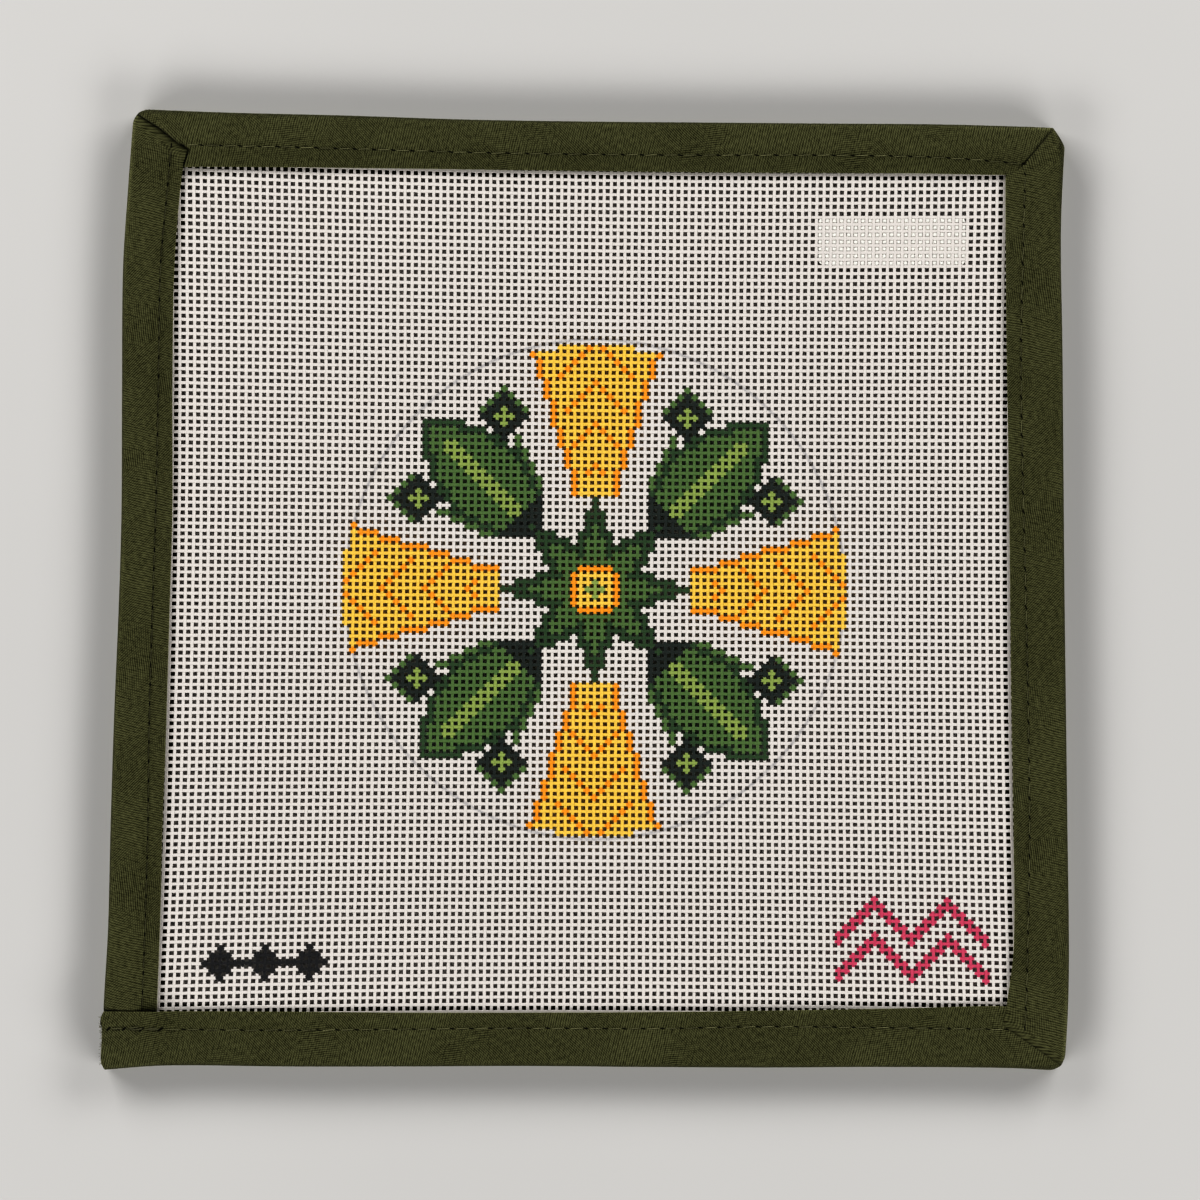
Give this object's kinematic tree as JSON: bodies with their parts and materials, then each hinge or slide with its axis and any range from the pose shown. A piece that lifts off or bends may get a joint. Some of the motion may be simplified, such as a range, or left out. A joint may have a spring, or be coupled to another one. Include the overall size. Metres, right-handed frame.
{
  "type": "needlepoint canvas panel",
  "caption": "Square open-weave needlepoint canvas lying flat, its raw edges bound in folded, stitched twill tape with mitred corners, and a blank label on its back.",
  "frame": {"origin": "under the middle of the panel's bounding box, on the surface that the panel lies on", "axes": "+Z out of the painted face, +Y to the top edge and +X to the right edge as the design is read"},
  "size_m": [0.1941, 0.1919, 0.0035],
  "materials": {
    "canvas_cotton": "bleached white cotton, stiffened and open-woven, painted by hand in places",
    "tape_twill": "dark olive cotton twill, matt, with fine slanted ribs",
    "label_paper": "blank white coated paper, smooth and slightly satin"
  },
  "bodies": {
    "root": {"canvas": "canvas_cotton", "binding_tape": "tape_twill", "back_label": "label_paper"}
  },
  "joints": []
}
